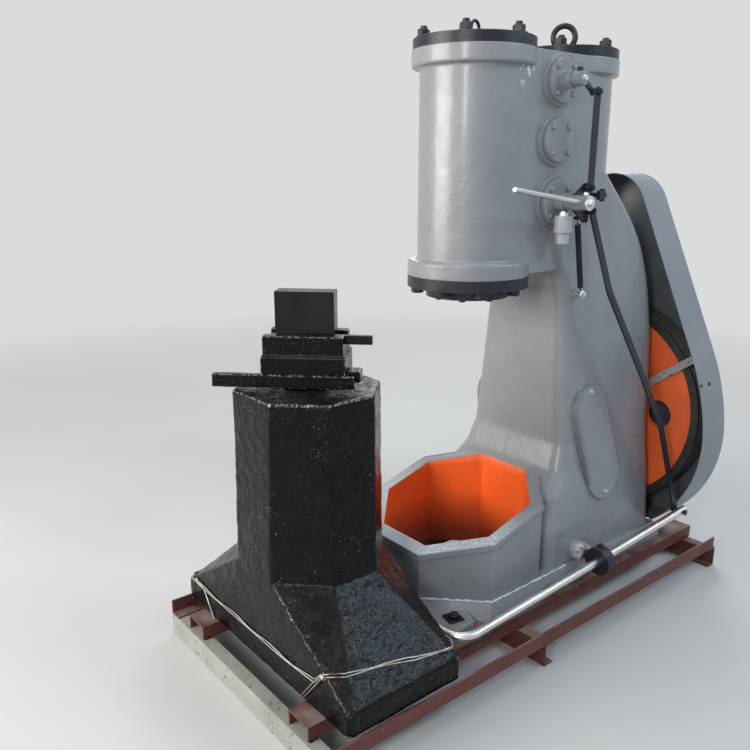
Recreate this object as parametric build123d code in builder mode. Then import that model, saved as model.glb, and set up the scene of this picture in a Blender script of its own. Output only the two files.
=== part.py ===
from build123d import *
import math
import os

# Pneumatic forging hammer on its shipping skid, in millimetres.
# x runs from the anvil towards the flywheel, -y is the lever side, z is up from the floor.
# The origin is under the middle of the skid's middle beam.

# Skid of channels and angles
skid_front = -894.0
skid_back = 1082.0
skid_width = 964.0
beam_height = 80.0
beam_depth = 43.0
beam_wall = 5.0
rail_width = 100.0
rail_height = 48.0
rail_wall = 5.3
rail_middle = 310.0
rail_front = -885.0
rail_back = 1095.0
angle_leg = 50.0
angle_wall = 5.0
angle_back = 1067.0
deck = beam_height + rail_height

# Ram, pocket and cylinders of the frame casting
ram_x = 54.0
cylinder_spacing = 452.0
barrel_radius = 175.0
barrel_bottom = 1258.0
barrel_top = 1972.0
top_flange_radius = 202.0
top_flange_height = 53.0
bottom_flange_radius = 207.0
bottom_flange_height = 52.0
rear_flange_radius = 196.0
flange_round = 8.0
rear_x = ram_x + cylinder_spacing

# Column of the frame casting
column_front = 348.0
column_back = 894.0
column_round = 58.0
column_proud = 2.0
# Height, front x less the column's, back x less the column's, half width in front, half width behind
column_plan = [
    (160.0, -150.0, 0.0, 300.0, 292.0),
    (330.0, -150.0, 0.0, 292.0, 280.0),
    (450.0, -120.0, 0.0, 276.0, 266.0),
    (530.0, -40.0, column_proud, 252.0, 254.0),
    (620.0, -8.0, column_proud, 236.0, 248.0),
    (780.0, -2.0, column_proud, 220.0, 244.0),
    (980.0, 2.0, column_proud, 202.0, 234.0),
    (1120.0, 2.0, 0.0, 190.0, 212.0),
]
throat_round = 70.0
throat_steps = 4
throat_low = (888.0, 184.0, 200.0)
throat_high = (868.0, 175.0, 192.0)
underside = 1266.0
# Height, back x and half width behind of the head, up its slope to the rear cylinder
head_plan = [
    (1290.0, 858.8, 190.2),
    (1315.0, 847.1, 188.6),
    (1340.0, 833.3, 187.2),
    (1365.0, 817.0, 185.9),
    (1395.0, 795.2, 184.4),
    (1430.0, 766.4, 182.6),
    (1470.0, 729.7, 180.6),
    (1530.0, 668.6, 178.0),
    (1597.0, 598.0, 176.0),
]
pad_root = 30.0

# Foot of the frame casting, as corners in front and behind of its sloping skirt
foot_low = ((-316.0, 140.0), (-120.0, 322.0), (912.0, 322.0))
foot_high = ((-272.0, 127.0), (-95.0, 305.0), (894.0, 303.0))
foot_height = 60.0
lug_height = 32.0
lug_plan = ((-255.0, 150.0), (-315.0, 277.0), (-308.0, 313.0), (-284.0, 325.0), (-193.0, 318.0), (-150.0, 235.0))

# Octagonal pocket that takes the anvil in use
pocket_x = 28.0
pocket_half_length = 255.0
pocket_half_width = 261.0
pocket_corner = 151.0
pocket_wall = 42.0
rim_height = 437.0
rim_slope = 0.29
rim_lip = 22.0
rim_proud = 5.0

# Covers, gland and lifting eyes
cover_height = 35.0
cover_inset = 4.0
cover_chamfer = 2.0
gland_height = 39.0
gland_step = 34.0
gland_step_radius = 142.0
rod_radius = 24.0
rod_proud = 12.0
big_eye_radius = 38.0
big_eye_wire = 10.0
small_eye_radius = 22.0
small_eye_wire = 5.5
eye_collar = 12.0
big_eye_turn = -45.0
small_eye_turn = 10.0

# Valve chest on the lever side
valve_pad_proud = 12.0
upper_valve = (269.0, barrel_top - 89.0)
middle_valve = (260.0, barrel_top - 274.0)
lower_valve = (270.0, barrel_top - 473.0)
upper_pad_radius = 80.0
middle_pad_radius = 83.0
lower_pad_radius = 88.0
upper_cover_radius = 70.0
middle_cover_radius = 70.0
lower_cover_radius = 75.0
valve_cover_thickness = 16.0
spindle_radius = 14.0
spindle_depth = 60.0
hub_radius = 28.0
hub_length = 32.0
running_fit = 0.05
seat_gap = 0.3
swing_gap = 5.0

# Cranks, hand lever and links, as offsets from the valve spindles
crank_thickness = 10.0
crank_face = 262.0
crank_boss = 24.0
pin_radius = 8.0
pin_boss = 15.0
pin_collar = 11.0
collar_relief = 3.0
spring_pin_radius = 6.0
upper_arm_radius = 7.0
upper_pin = (58.0, -38.0)
upper_link_pin = (53.0, 48.0)
long_link_pin = (69.0, -27.0)
spring_pin = (58.0, -52.0)
link_face = 282.0
link_thickness = 8.0
link_width = 26.0
link_eye_radius = 15.0
slot_spare = 2.5
pin_slack = 1.0
foot_slack = 2.0
lever_y = 300.0
lever_radius = 9.0
lever_length = 372.0
lever_rise = 8.0
lever_tail = 6.0
long_link_bends = ((431.0, 1197.0), (643.0, 848.0), (756.0, 645.0))
link_foot_y = 411.0
link_bend = 120.0

# Return spring between the lever crank and a stud on the column
spring_radius = 11.0
spring_stud = (404.0, 1178.0)
stud_boss_radius = 18.0
stud_boss_face = 200.0
stud_length = 30.0
stud_radius = 8.0
spring_end = 22.0
spring_wire = 3.0
spring_top_y = 238.0
spring_foot_y = 218.0

# Drain cock on the lower valve's cover and bleed valve beside it
drain_place = (256.0, 1457.0)
drain_y = 236.0
drain_cap_radius = 17.0
drain_cap_height = 10.0
drain_body_radius = 30.0
drain_body_height = 54.0
drain_taper = 8.0
drain_foot_radius = 22.0
drain_foot_height = 30.0
drain_stem_radius = 12.0
drain_stem_drop = 17.0
bleed_valve = (416.0, 1521.0)
bleed_stem_radius = 8.0
bleed_boss_radius = 14.0
bleed_boss_face = 187.0
bleed_knob_radius = 22.0
bleed_knob_face = 258.0
bleed_knob_thickness = 14.0

# Inspection covers, on pads that lean with the sides of the column
cover_centre = (513.0, 254.7, 610.0)
cover_lean = 0.134
cover_span = 266.0
cover_turn = 102.6
cover_radius = 96.0
cover_pad_margin = 4.0
cover_plate = 8.0

# Flywheel with its bare belt grooves, and the guard
flywheel_z = 642.0
flywheel_radius = 436.0
flywheel_face = 912.0
flywheel_width = 92.0
rim_thickness = 36.0
web_setback = 6.0
web_thickness = 24.0
web_holes = 6
web_hole_radius = 56.0
web_hole_circle = 262.0
wheel_hub_radius = 92.0
wheel_hub_proud = 4.0
shaft_end = 10.0
crank_radius = 37.5
crank_depth = 110.0
groove_count = 4
groove_pitch = 20.5
groove_width = 17.0
groove_depth = 14.0
groove_floor_width = 7.4
guard_top_z = 1440.0
guard_front = 871.0
guard_depth = 160.0
guard_sheet = 3.0
guard_drop = 63.0
guard_room = 50.0
guard_side_radius = 900.0
guard_low_turn = 5.0
guard_slope = 24.5
guard_floor = 190.0
guard_notch_depth = 29.0
guard_notch_half = 286.0
strap_width = 30.0
strap_thickness = 5.0
strap_root = (150.0, 718.0)
strap_tip_turn = 23.8
strap_foot = 60.0

# Anvil
anvil_x = -617.5
anvil_half_length = 471.0
anvil_half_depth = 210.5
anvil_band = 75.0
anvil_clip = 12.0
anvil_neck = 433.0
anvil_top = 979.0
neck_half = (213.0, 230.0, 134.0)
top_half = (201.0, 219.0, 120.0)
seat_height = 21.0
seat_half = 54.0
cap_half_length = 125.0
cap_half_depth = 79.0
cap_foot = 80.0
cap_head = 60.0
cap_head_half_length = 118.0
cap_head_half_depth = 74.0
dovetail_half = 38.0
dovetail_depth = 27.0
die_length = 175.0
die_depth = 65.0
die_height = 121.0
die_lift = 3.0
die_key_width = 18.0
die_key_start = -100.0
die_key_end = 199.0
cap_key_inside = 55.0
cap_key_height = 40.0
cap_key_drop = 14.0
cap_key_start = -272.0
cap_key_end = 150.0
wedge_end = 166.0
wedge_near = -54.0
wedge_far = 2.0
wedge_foot = 2.0
wedge_height = 34.0
cap_turn = 45.0

# Treadle of one bent pipe, on a pivot each side
treadle_radius = 16.0
treadle_bore = 12.5
treadle_pivot = (370.0, 229.0)
treadle_y = 405.0
treadle_front = -343.0
treadle_front_z = 187.0
treadle_rear = (875.0, 437.5, 296.7)
treadle_bend = 70.0
collar_radius = 52.0
collar_thickness = 42.0
kink_run = 60.0
pivot_radius = 17.0
pivot_depth = 60.0
pivot_boss_radius = 35.0
pivot_boss_face = 342.0
foot_pin_x = 852.0
foot_pin_radius = 7.0
bolt_head_radius = 11.0
bolt_head_height = 7.0
bolt_head_gap = 1.5
kink_bend = 300.0

# Faces that several pieces share
pad_face = barrel_radius + valve_pad_proud
valve_face = pad_face + valve_cover_thickness
rear_face = column_back + column_proud
cover_top = barrel_top + cover_height

os.makedirs("parts", exist_ok=True)


def finish(piece, name):
    piece.label = name
    export_step(piece, f"parts/{name}.step")


def channel(web, flange, wall):
    """Upright U with its web at x = 0 and its flanges towards +x."""
    with BuildSketch() as profile:
        with BuildLine():
            Polyline(
                (0, -web / 2),
                (flange, -web / 2),
                (flange, -web / 2 + wall),
                (wall, -web / 2 + wall),
                (wall, web / 2 - wall),
                (flange, web / 2 - wall),
                (flange, web / 2),
                (0, web / 2),
                close=True,
            )
        make_face()
    return profile.sketch


def octagon(half_x, half_y, corner):
    """Rectangle of the given half sizes with its four corners cut off."""
    return [
        (-half_x, half_y - corner),
        (-half_x, corner - half_y),
        (corner - half_x, -half_y),
        (half_x - corner, -half_y),
        (half_x, corner - half_y),
        (half_x, half_y - corner),
        (half_x - corner, half_y),
        (corner - half_x, half_y),
    ]


# Skid
cross_beams = {
    "skid_front_beam": (skid_front, 1),
    "skid_middle_beam": (-beam_depth / 2, 1),
    "skid_rear_beam": (skid_back, -1),
}
for name, (web_x, side) in cross_beams.items():
    across = Plane(origin=(web_x, skid_width / 2, beam_height / 2), x_dir=(side, 0, 0), z_dir=(0, -side, 0))
    with BuildPart() as beam:
        with BuildSketch(across):
            add(channel(beam_height, beam_depth, beam_wall))
        extrude(amount=skid_width * side)
    finish(beam.part, name)

for name, side in (("skid_left_rail", 1), ("skid_right_rail", -1)):
    along = Plane(origin=(rail_front, side * rail_middle, deck), x_dir=(0, 0, -1), z_dir=(1, 0, 0))
    with BuildPart() as rail:
        with BuildSketch(along):
            add(channel(rail_width, rail_height, rail_wall))
        extrude(amount=rail_back - rail_front)
    finish(rail.part, name)

for name, side in (("skid_left_angle", 1), ("skid_right_angle", -1)):
    with BuildPart() as angle_iron:
        with BuildSketch(Plane.YZ.offset(skid_front)):
            with BuildLine():
                Polyline(
                    (side * skid_width / 2, beam_height),
                    (side * skid_width / 2, beam_height + angle_leg),
                    (side * (skid_width / 2 - angle_wall), beam_height + angle_leg),
                    (side * (skid_width / 2 - angle_wall), beam_height + angle_wall),
                    (side * (skid_width / 2 - angle_leg), beam_height + angle_wall),
                    (side * (skid_width / 2 - angle_leg), beam_height),
                    close=True,
                )
            make_face()
        extrude(amount=angle_back - skid_front)
    finish(angle_iron.part, name)


# Frame casting: pocket block with its sloping rim
rim_plane = Plane(
    origin=(pocket_x, 0, rim_height),
    x_dir=(1, 0, rim_slope),
    z_dir=(-rim_slope, 0, 1),
)
outer_length = pocket_half_length + pocket_wall
outer_width = pocket_half_width + pocket_wall
outer_corner = pocket_corner + pocket_wall * (2 - math.sqrt(2))
pocket_reach = rim_height + rim_slope * outer_length + rim_lip
with BuildPart() as pocket_block:
    with BuildSketch(Plane.XY.offset(deck)):
        with Locations((pocket_x, 0)):
            Polygon(*octagon(outer_length, outer_width, outer_corner), align=None)
    extrude(amount=pocket_reach - deck)
    split(bisect_by=rim_plane, keep=Keep.BOTTOM)

with BuildPart() as pocket_lip:
    with BuildSketch(Plane.XY.offset(deck)):
        with Locations((pocket_x, 0)):
            Polygon(
                *octagon(outer_length + rim_proud, outer_width + rim_proud, outer_corner + rim_proud * (2 - math.sqrt(2))),
                align=None,
            )
    extrude(amount=pocket_reach - deck)
    split(bisect_by=rim_plane, keep=Keep.BOTTOM)
    split(bisect_by=rim_plane.offset(-rim_lip), keep=Keep.TOP)

# Column sections, then those that follow the round of the throat and the slope of the head
sections = [
    (z, column_front + front, column_back + back, front_half, back_half)
    for z, front, back, front_half, back_half in column_plan
]
for step in range(throat_steps + 1):
    share = step / throat_steps
    rise = math.sin(math.radians(90 * share))
    sections.append(
        (
            underside - throat_round * (1 - rise),
            column_front - throat_round * (1 - math.cos(math.radians(90 * share))),
            *[low + (high - low) * rise for low, high in zip(throat_low, throat_high)],
        )
    )
for z, back, back_half in head_plan:
    sections.append((z, column_front - throat_round, back, throat_high[1], back_half))

with BuildPart() as column:
    for z, front, back, front_half, back_half in sections:
        with BuildSketch(Plane.XY.offset(z)) as section:
            with BuildLine():
                Polyline(
                    (front, -front_half),
                    (back, -back_half),
                    (back, back_half),
                    (front, front_half),
                    close=True,
                )
            make_face()
            fillet(section.vertices(), column_round)
    loft(ruled=True)

# Pads and plates of the inspection covers lean with the sides of the column
cover_plane = Plane(
    origin=(cover_centre[0], -cover_centre[1], cover_centre[2]),
    x_dir=(1, 0, 0),
    z_dir=(0, -1, cover_lean),
)

# Skirt of the foot, with a lug at each front corner
with BuildPart() as foot:
    for z, corners in ((deck, foot_low), (deck + foot_height, foot_high)):
        with BuildSketch(Plane.XY.offset(z)):
            Polygon(*corners, *[(x, -y) for x, y in reversed(corners)], align=None)
    loft(ruled=True)
    for side in (1, -1):
        with BuildSketch(Plane.XY.offset(deck)):
            Polygon(*[(x, side * y) for x, y in lug_plan], align=None)
        extrude(amount=lug_height)

# Head round both cylinders
with BuildPart() as head:
    with BuildSketch(Plane.XY.offset(underside)):
        with Locations(((ram_x + rear_x) / 2, 0)):
            SlotCenterToCenter(cylinder_spacing, 2 * barrel_radius)
    extrude(amount=barrel_top - underside)


def flanged(x, bottom, profile):
    """Round body about an upright axis, with the roots and edges of its flanges rounded."""
    with BuildPart() as turned_body:
        with BuildSketch(Plane.XZ) as half:
            Polygon(*[(x + radius, z) for radius, z in profile], align=None)
            inner = [v for v in half.vertices() if v.X > x + 1 and bottom < v.Y < barrel_top]
            fillet(inner, flange_round)
        revolve(axis=Axis((x, 0, 0), (0, 0, 1)))
    return turned_body.part


top_flange_bottom = barrel_top - top_flange_height
bottom_flange_top = barrel_bottom + bottom_flange_height
front_barrel = [
    (0, barrel_bottom),
    (bottom_flange_radius, barrel_bottom),
    (bottom_flange_radius, bottom_flange_top),
    (barrel_radius, bottom_flange_top),
    (barrel_radius, top_flange_bottom),
    (top_flange_radius, top_flange_bottom),
    (top_flange_radius, barrel_top),
    (0, barrel_top),
]
rear_barrel = [
    (0, underside),
    (barrel_radius, underside),
    (barrel_radius, top_flange_bottom),
    (rear_flange_radius, top_flange_bottom),
    (rear_flange_radius, barrel_top),
    (0, barrel_top),
]

with BuildPart() as hammer_frame:
    add(foot.part)
    add(column.part)
    add(pocket_block.part)
    add(pocket_lip.part)
    add(head.part)
    add(flanged(ram_x, barrel_bottom, front_barrel))
    add(flanged(rear_x, underside, rear_barrel))
    # Pads for the valve covers and a boss for the spring's stud, on the lever side
    for place, radius in (
        (upper_valve, upper_pad_radius),
        (middle_valve, middle_pad_radius),
        (lower_valve, lower_pad_radius),
    ):
        with BuildSketch(Plane.XZ.offset(barrel_radius - pad_root)):
            with Locations(place):
                Circle(radius)
        extrude(amount=valve_pad_proud + pad_root)
    for place, radius, face in (
        (spring_stud, stud_boss_radius, stud_boss_face),
        (bleed_valve, bleed_boss_radius, bleed_boss_face),
    ):
        with BuildSketch(Plane.XZ.offset(barrel_radius - pad_root)):
            with Locations(place):
                Circle(radius)
        extrude(amount=face - barrel_radius + pad_root)
    # Bosses for the treadle's pivots and pads for the inspection covers, on both sides
    with BuildSketch(Plane.XZ.offset(-pivot_boss_face)):
        with Locations(treadle_pivot):
            Circle(pivot_boss_radius)
    extrude(amount=2 * pivot_boss_face)
    with BuildSketch(cover_plane):
        SlotCenterToCenter(cover_span, 2 * (cover_radius + cover_pad_margin), rotation=cover_turn)
    extrude(amount=-pad_root * 2)
    with BuildSketch(cover_plane) as left_pad:
        SlotCenterToCenter(cover_span, 2 * (cover_radius + cover_pad_margin), rotation=cover_turn)
    left_face = left_pad.sketch.mirror(Plane.XZ)
    extrude(left_face, amount=pad_root * 2, dir=(0, -1, -cover_lean))
    # Octagonal well, open below
    with BuildSketch(Plane.XY.offset(deck)):
        with Locations((pocket_x, 0)):
            Polygon(*octagon(pocket_half_length, pocket_half_width, pocket_corner), align=None)
    extrude(amount=pocket_reach - deck, mode=Mode.SUBTRACT)
    # Bores for the spindles, the crankshaft and the treadle's pivots
    with BuildSketch(Plane.XZ.offset(pad_face - spindle_depth)):
        with Locations(upper_valve, lower_valve):
            Circle(spindle_radius + running_fit)
    extrude(amount=spindle_depth, mode=Mode.SUBTRACT)
    with BuildSketch(Plane.YZ.offset(rear_face - crank_depth)):
        with Locations((0, flywheel_z)):
            Circle(crank_radius + running_fit)
    extrude(amount=crank_depth, mode=Mode.SUBTRACT)
    for side in (1, -1):
        with BuildSketch(Plane.XZ.offset(side * (pivot_boss_face - pivot_depth))):
            with Locations(treadle_pivot):
                Circle(pivot_radius + running_fit)
        extrude(amount=side * pivot_depth, mode=Mode.SUBTRACT)
finish(hammer_frame.part, "hammer_frame")


# Covers, lifting eyes and the gland under the front cylinder
for name, x, flange_radius in (
    ("front_cylinder_cover", ram_x, top_flange_radius),
    ("rear_cylinder_cover", rear_x, rear_flange_radius),
):
    with BuildPart() as cover:
        with BuildSketch(Plane.XY.offset(barrel_top)):
            with Locations((x, 0)):
                Circle(flange_radius - cover_inset)
        extrude(amount=cover_height)
        chamfer(cover.edges().group_by(Axis.Z)[-1], cover_chamfer)
    finish(cover.part, name)

for name, x, radius, wire, turn in (
    ("front_eye_bolt", ram_x, small_eye_radius, small_eye_wire, small_eye_turn),
    ("rear_eye_bolt", rear_x, big_eye_radius, big_eye_wire, big_eye_turn),
):
    ring_plane = Plane(
        origin=(x, 0, cover_top + eye_collar + radius),
        x_dir=(math.cos(math.radians(turn)), math.sin(math.radians(turn)), 0),
        z_dir=(0, 0, 1),
    )
    with BuildPart() as eye:
        with BuildSketch(Plane.XY.offset(cover_top)):
            with Locations((x, 0)):
                Circle(2 * wire)
        extrude(amount=eye_collar)
        with BuildSketch(ring_plane):
            with Locations((radius, 0)):
                Circle(wire)
        revolve(axis=Axis(ring_plane.origin, ring_plane.y_dir))
    finish(eye.part, name)

with BuildPart() as ram_gland:
    with BuildSketch(Plane.XZ):
        with BuildLine():
            Polyline(
                (ram_x, barrel_bottom),
                (ram_x + bottom_flange_radius, barrel_bottom),
                (ram_x + bottom_flange_radius, barrel_bottom - gland_height),
                (ram_x + gland_step_radius, barrel_bottom - gland_height),
                (ram_x + gland_step_radius, barrel_bottom - gland_height - gland_step),
                (ram_x + rod_radius, barrel_bottom - gland_height - gland_step),
                (ram_x + rod_radius, barrel_bottom - gland_height - gland_step - rod_proud),
                (ram_x, barrel_bottom - gland_height - gland_step - rod_proud),
                close=True,
            )
        make_face()
    revolve(axis=Axis((ram_x, 0, 0), (0, 0, 1)))
finish(ram_gland.part, "ram_gland")

# Valve covers, two of them with a hub that carries a spindle
for name, place, radius in (
    ("upper_valve_cover", upper_valve, upper_cover_radius),
    ("lower_valve_cover", lower_valve, lower_cover_radius),
):
    with BuildPart() as valve_cover:
        with BuildSketch(Plane.XZ.offset(pad_face)):
            with Locations(place):
                Circle(radius)
        extrude(amount=valve_cover_thickness)
        with BuildSketch(Plane.XZ.offset(valve_face)):
            with Locations(place):
                Circle(hub_radius)
        extrude(amount=hub_length)
        with BuildSketch(Plane.XZ.offset(pad_face)):
            with Locations(place):
                Circle(spindle_radius + running_fit)
        extrude(amount=valve_cover_thickness + hub_length, mode=Mode.SUBTRACT)
    finish(valve_cover.part, name)

with BuildPart() as middle_valve_cover:
    with BuildSketch(Plane.XZ.offset(pad_face)):
        with Locations(middle_valve):
            Circle(middle_cover_radius)
    extrude(amount=valve_cover_thickness)
finish(middle_valve_cover.part, "middle_valve_cover")


def along_y(place, radius, start, end):
    """Round bar along -y between two distances from the middle plane."""
    with BuildPart() as bar:
        with BuildSketch(Plane.XZ.offset(start)):
            with Locations(place):
                Circle(radius)
        extrude(amount=end - start)
    return bar.part


def beside(place, offset):
    return (place[0] + offset[0], place[1] + offset[1])


def arm(place, offset, root_radius, tip_radius):
    """Crank arm from a spindle's centre to a pin."""
    with BuildSketch(Plane.XZ.offset(crank_face)) as web:
        with Locations(place):
            Circle(root_radius)
        with Locations(beside(place, offset)):
            Circle(tip_radius)
        make_hull()
    return web.sketch


# Cranks with their spindles. The lower crank works both links, the spring and the hand lever
hub_face = valve_face + hub_length + swing_gap
plate_face = crank_face + crank_thickness
with BuildPart() as upper_crank:
    add(along_y(upper_valve, spindle_radius, pad_face - spindle_depth, hub_face))
    add(along_y(upper_valve, crank_boss, hub_face, plate_face))
    extrude(arm(upper_valve, upper_pin, upper_arm_radius, upper_arm_radius), amount=crank_thickness)
    add(along_y(beside(upper_valve, upper_pin), pin_collar, crank_face, link_face - collar_relief))
    add(along_y(beside(upper_valve, upper_pin), pin_radius, plate_face, link_face + 2 * link_thickness))
finish(upper_crank.part, "upper_crank")

lever_way = Plane(
    origin=(lower_valve[0], -lever_y, lower_valve[1]),
    z_dir=(-math.cos(math.radians(lever_rise)), 0, math.sin(math.radians(lever_rise))),
)
with BuildPart() as lever_crank:
    add(along_y(lower_valve, spindle_radius, pad_face - spindle_depth, hub_face))
    add(along_y(lower_valve, crank_boss, hub_face, lever_y + crank_boss))
    for offset in (upper_link_pin, long_link_pin, spring_pin):
        extrude(arm(lower_valve, offset, crank_boss, pin_boss), amount=crank_thickness)
    for offset in (upper_link_pin, long_link_pin):
        add(along_y(beside(lower_valve, offset), pin_collar, plate_face, link_face - collar_relief))
        add(along_y(beside(lower_valve, offset), pin_radius, plate_face, link_face + 2 * link_thickness))
    add(along_y(beside(lower_valve, spring_pin), spring_pin_radius, spring_top_y - spring_radius, crank_face))
    with BuildSketch(lever_way):
        Circle(lever_radius + running_fit)
    extrude(amount=2 * crank_boss, both=True, mode=Mode.SUBTRACT)
finish(lever_crank.part, "lever_crank")

with BuildPart() as hand_lever:
    with BuildSketch(lever_way.offset(-crank_boss - lever_tail)):
        Circle(lever_radius)
    extrude(amount=lever_length)
    fillet(hand_lever.edges().filter_by(GeomType.CIRCLE), lever_radius / 3)
finish(hand_lever.part, "hand_lever")

# Upper link, with a slotted eye at the upper crank
link_top = beside(upper_valve, upper_pin)
link_low = beside(lower_valve, upper_link_pin)
link_span = math.dist(link_top, link_low)
link_lean = math.degrees(math.atan2(link_top[1] - link_low[1], link_top[0] - link_low[0]))
upper_link_plane = Plane(
    origin=(link_low[0], -link_face, link_low[1]),
    x_dir=(math.cos(math.radians(link_lean)), 0, math.sin(math.radians(link_lean))),
    z_dir=(0, -1, 0),
)
with BuildPart() as upper_link:
    with BuildSketch(upper_link_plane):
        with Locations((link_span / 2, 0)):
            Rectangle(link_span, link_width)
        with Locations((0, 0), (link_span, 0)):
            Circle(link_eye_radius)
        Circle(pin_radius + running_fit, mode=Mode.SUBTRACT)
        with Locations((link_span, 0)):
            SlotCenterToCenter(2 * slot_spare, 2 * (pin_radius + pin_slack), mode=Mode.SUBTRACT)
    extrude(amount=link_thickness)
finish(upper_link.part, "upper_link")

# Treadle of one bent pipe round the front of the foot, level with its pivots
pivot_slope = (treadle_pivot[1] - treadle_front_z) / (treadle_pivot[0] - treadle_front)
kink_x = treadle_pivot[0] + kink_run
kink_z = treadle_pivot[1] + kink_run * pivot_slope
pipe_ends = [
    (treadle_rear[0], -treadle_rear[1], treadle_rear[2]),
    (kink_x, -treadle_y, kink_z),
    (treadle_front, -treadle_y, treadle_front_z),
]
pipe_points = pipe_ends + [(x, -y, z) for x, y, z in reversed(pipe_ends)]
foot_share = (foot_pin_x - kink_x) / (treadle_rear[0] - kink_x)
foot_pin_y = treadle_y + foot_share * (treadle_rear[1] - treadle_y)
foot_pin = (foot_pin_x, kink_z + foot_share * (treadle_rear[2] - kink_z))
with BuildPart() as treadle:
    with BuildLine() as pipe_way:
        FilletPolyline(*pipe_points, radius=(kink_bend, treadle_bend, treadle_bend, kink_bend))
    with BuildSketch(pipe_way.line ^ 0):
        Circle(treadle_radius)
        Circle(treadle_bore, mode=Mode.SUBTRACT)
    sweep()
    add(
        along_y(
            foot_pin, foot_pin_radius + running_fit, foot_pin_y - 2 * treadle_radius, foot_pin_y + 2 * treadle_radius
        ),
        mode=Mode.SUBTRACT,
    )
finish(treadle.part, "treadle")

# Round pivot blocks on the pipe, with their pins in the bosses of the frame
for name, side in (("treadle_left_pivot", 1), ("treadle_right_pivot", -1)):
    pipe_axis = Plane(
        origin=(treadle_pivot[0], side * treadle_y, treadle_pivot[1]),
        z_dir=(1, 0, pivot_slope),
    )
    with BuildPart() as pivot_block:
        with BuildSketch(pipe_axis):
            Circle(collar_radius)
        extrude(amount=collar_thickness / 2, both=True)
        chamfer(pivot_block.edges().filter_by(GeomType.CIRCLE), cover_chamfer)
        with BuildSketch(Plane.XZ.offset(-side * (pivot_boss_face - pivot_depth))):
            with Locations(treadle_pivot):
                Circle(pivot_radius)
        extrude(amount=-side * (treadle_y - pivot_boss_face + pivot_depth))
        with BuildSketch(pipe_axis):
            Circle(treadle_radius + seat_gap)
        extrude(amount=2 * collar_radius, both=True, mode=Mode.SUBTRACT)
    finish(pivot_block.part, name)

with BuildPart() as link_bolt:
    add(along_y(foot_pin, foot_pin_radius, link_foot_y - link_thickness, foot_pin_y + treadle_radius + bolt_head_gap))
    with BuildSketch(Plane.XZ.offset(foot_pin_y + treadle_radius + bolt_head_gap)):
        with Locations(foot_pin):
            RegularPolygon(bolt_head_radius, 6)
    extrude(amount=bolt_head_height)
finish(link_bolt.part, "link_bolt")

# Long link, a flat bar bent in a plane that leans out from the crank to the treadle
long_top = beside(lower_valve, long_link_pin)
link_middle = link_face + link_thickness / 2
link_lean_out = (link_foot_y - link_middle) / (long_top[1] - foot_pin[1])
long_link_plane = Plane(
    origin=(long_top[0], -link_middle, long_top[1]),
    x_dir=(1, 0, 0),
    z_dir=(0, -1, link_lean_out),
)
stretch = math.hypot(1, link_lean_out)
long_points = [
    (x - long_top[0], (z - long_top[1]) * stretch) for x, z in (long_top, *long_link_bends, foot_pin)
]
foot_run = (long_points[-1][0] - long_points[-2][0], long_points[-1][1] - long_points[-2][1])
with BuildPart() as long_link:
    with BuildSketch(long_link_plane):
        with BuildLine() as bar_way:
            FilletPolyline(*long_points, radius=link_bend)
        trace(line_width=link_width)
        with Locations(long_points[0], long_points[-1]):
            Circle(link_eye_radius)
    extrude(amount=link_thickness / 2, both=True)
    add(along_y(long_top, pin_radius + running_fit, link_face / 2, 2 * link_face), mode=Mode.SUBTRACT)
    with BuildSketch(Plane.XZ.offset(link_face)):
        with Locations(foot_pin):
            SlotCenterToCenter(
                2 * slot_spare,
                2 * (foot_pin_radius + foot_slack),
                rotation=math.degrees(math.atan2(foot_run[1], foot_run[0])),
            )
    extrude(amount=2 * link_face, mode=Mode.SUBTRACT)
finish(long_link.part, "long_link")

# Return spring with its straight ends, and its stud on the column
spring_high = beside(lower_valve, spring_pin)
spring_vector = Vector(
    spring_high[0] - spring_stud[0], spring_foot_y - spring_top_y, spring_high[1] - spring_stud[1]
)
spring_way = Plane(
    origin=(spring_stud[0], -spring_foot_y, spring_stud[1]),
    z_dir=spring_vector,
)
hook_low = stud_radius + seat_gap
hook_high = spring_pin_radius + seat_gap
with BuildPart() as return_spring:
    with BuildSketch(spring_way.offset(spring_end)):
        Circle(spring_radius)
    extrude(amount=spring_vector.length - 2 * spring_end)
    with BuildSketch(spring_way.offset(hook_low)):
        Circle(spring_wire)
    extrude(amount=spring_vector.length - hook_low - hook_high)
finish(return_spring.part, "return_spring")

finish(along_y(spring_stud, stud_radius, stud_boss_face, stud_boss_face + stud_length), "spring_anchor")

# Drain cock hanging in front of the lower valve's cover, and the bleed valve with its star knob
drain_profile = [
    (0, drain_cap_height),
    (drain_cap_radius, drain_cap_height),
    (drain_cap_radius, 0),
    (drain_body_radius, 0),
    (drain_body_radius, -drain_body_height),
    (drain_foot_radius, -drain_body_height - drain_taper),
    (drain_foot_radius, -drain_body_height - drain_taper - drain_foot_height),
    (0, -drain_body_height - drain_taper - drain_foot_height),
]
with BuildPart() as drain_fitting:
    with BuildSketch(Plane.XZ.offset(drain_y)):
        Polygon(*[(drain_place[0] + radius, drain_place[1] + z) for radius, z in drain_profile], align=None)
    revolve(axis=Axis((drain_place[0], -drain_y, 0), (0, 0, 1)))
    add(along_y(beside(drain_place, (0, -drain_stem_drop)), drain_stem_radius, valve_face, drain_y))
finish(drain_fitting.part, "drain_fitting")

with BuildPart() as bleed_valve_part:
    add(along_y(bleed_valve, bleed_stem_radius, bleed_boss_face, bleed_knob_face))
    with BuildSketch(Plane.XZ.offset(bleed_knob_face)):
        with Locations(bleed_valve):
            Circle(bleed_knob_radius * 0.7)
            with PolarLocations(bleed_knob_radius * 0.7, 5):
                Circle(bleed_knob_radius * 0.3)
    extrude(amount=bleed_knob_thickness)
finish(bleed_valve_part.part, "bleed_valve")

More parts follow.
